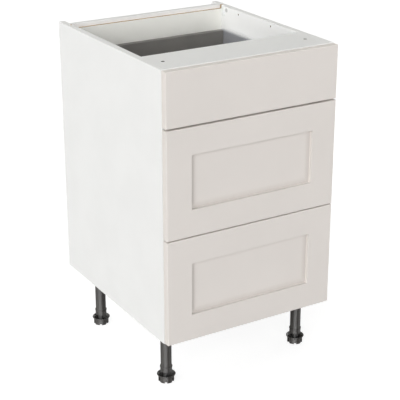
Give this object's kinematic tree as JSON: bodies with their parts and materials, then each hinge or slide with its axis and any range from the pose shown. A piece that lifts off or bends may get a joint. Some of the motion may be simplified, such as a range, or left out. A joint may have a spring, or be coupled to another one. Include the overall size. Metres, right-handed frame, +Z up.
{
  "type": "kitchen base cabinet with drawers",
  "caption": "Floor-standing kitchen base cabinet with full-width pull-out drawers, open top for a worktop, service void at the back and height-adjustable screw feet.",
  "frame": {"origin": "on the floor under the middle of the whole cabinet, fronts included", "axes": "+X to the right seen from the front, +Y to the rear, +Z up; the drawers pull out along -Y"},
  "size_m": [0.5, 0.581, 0.87],
  "materials": {
    "white_board": "white melamine faced chipboard, fine matt grain; white lipping on the seen edges, the back panel's top edge left raw",
    "zinc_casting": "cast zinc",
    "screw_steel": "bright zinc plated",
    "beech": "raw fluted beech",
    "white_nylon": "moulded nylon",
    "cap_plastic": "moulded light grey plastic",
    "leg_plastic": "dark grey moulded plastic, fine texture",
    "zinc_steel": "galvanised rolled steel",
    "runner_polymer": "moulded acetal",
    "front_foil": "wrapped MDF, light greige, smooth matt",
    "grey_steel": "dark grey powder coat, fine orange peel",
    "grey_board": "dark grey melamine faced board"
  },
  "bodies": {
    "carcass": {"side_panel_left": "white_board", "side_panel_right": "white_board", "bottom_panel": "white_board", "back_panel": "white_board", "front_top_rail": "white_board", "rear_top_rail": "white_board", "cam_locks": "zinc_casting", "cam_bolts": "screw_steel", "panel_dowels": "beech", "back_screws": "screw_steel", "corner_blocks": "white_nylon", "cover_caps": "cap_plastic", "leg_mounts": "leg_plastic", "leg_screws": "screw_steel", "leg_tubes": "leg_plastic", "runner_cabinet_top": "zinc_steel", "runner_cabinet_middle": "zinc_steel", "runner_cabinet_bottom": "zinc_steel", "runner_screws": "screw_steel"},
    "drawer_top": {"front_top": "front_foil", "side_left_top": "grey_steel", "side_right_top": "grey_steel", "base_top": "grey_board", "back_top": "grey_board", "front_brackets_top": "zinc_steel", "back_brackets_top": "grey_steel", "drawer_screws_top": "screw_steel", "runner_drawer_top": "zinc_steel"},
    "drawer_middle": {"front_middle": "front_foil", "side_left_middle": "grey_steel", "side_right_middle": "grey_steel", "base_middle": "grey_board", "back_middle": "grey_board", "front_brackets_middle": "zinc_steel", "back_brackets_middle": "grey_steel", "drawer_screws_middle": "screw_steel", "runner_drawer_middle": "zinc_steel", "gallery_rails_middle": "grey_steel"},
    "drawer_bottom": {"front_bottom": "front_foil", "side_left_bottom": "grey_steel", "side_right_bottom": "grey_steel", "base_bottom": "grey_board", "back_bottom": "grey_board", "front_brackets_bottom": "zinc_steel", "back_brackets_bottom": "grey_steel", "drawer_screws_bottom": "screw_steel", "runner_drawer_bottom": "zinc_steel", "gallery_rails_bottom": "grey_steel"},
    "runner_centre_top": {"runner_middle_top": "zinc_steel", "runner_carriages_top": "runner_polymer"},
    "runner_centre_middle": {"runner_middle_middle": "zinc_steel", "runner_carriages_middle": "runner_polymer"},
    "runner_centre_bottom": {"runner_middle_bottom": "zinc_steel", "runner_carriages_bottom": "runner_polymer"},
    "foot_front_left": {"foot_front_left": "leg_plastic"},
    "foot_front_right": {"foot_front_right": "leg_plastic"},
    "foot_rear_left": {"foot_rear_left": "leg_plastic"},
    "foot_rear_right": {"foot_rear_right": "leg_plastic"}
  },
  "joints": [
    {"name": "slide_top", "type": "slide", "parent": "carcass", "child": "drawer_top", "axis": [0, -1, 0], "range_m": [0, 0.48]},
    {"name": "slide_middle", "type": "slide", "parent": "carcass", "child": "drawer_middle", "axis": [0, -1, 0], "range_m": [0, 0.48]},
    {"name": "slide_bottom", "type": "slide", "parent": "carcass", "child": "drawer_bottom", "axis": [0, -1, 0], "range_m": [0, 0.48]},
    {"name": "runner_slide_top", "type": "slide", "parent": "carcass", "child": "runner_centre_top", "axis": [0, -1, 0], "range_m": [0, 0.24]},
    {"name": "runner_slide_middle", "type": "slide", "parent": "carcass", "child": "runner_centre_middle", "axis": [0, -1, 0], "range_m": [0, 0.24]},
    {"name": "runner_slide_bottom", "type": "slide", "parent": "carcass", "child": "runner_centre_bottom", "axis": [0, -1, 0], "range_m": [0, 0.24]},
    {"name": "foot_height_front_left", "type": "slide", "parent": "carcass", "child": "foot_front_left", "axis": [0, 0, -1], "range_m": [0, 0.025]},
    {"name": "foot_height_front_right", "type": "slide", "parent": "carcass", "child": "foot_front_right", "axis": [0, 0, -1], "range_m": [0, 0.025]},
    {"name": "foot_height_rear_left", "type": "slide", "parent": "carcass", "child": "foot_rear_left", "axis": [0, 0, -1], "range_m": [0, 0.025]},
    {"name": "foot_height_rear_right", "type": "slide", "parent": "carcass", "child": "foot_rear_right", "axis": [0, 0, -1], "range_m": [0, 0.025]}
  ],
  "couplings": [
    {"joint": "runner_slide_top", "follows": "slide_top", "ratio": 0.5},
    {"joint": "runner_slide_middle", "follows": "slide_middle", "ratio": 0.5},
    {"joint": "runner_slide_bottom", "follows": "slide_bottom", "ratio": 0.5}
  ]
}
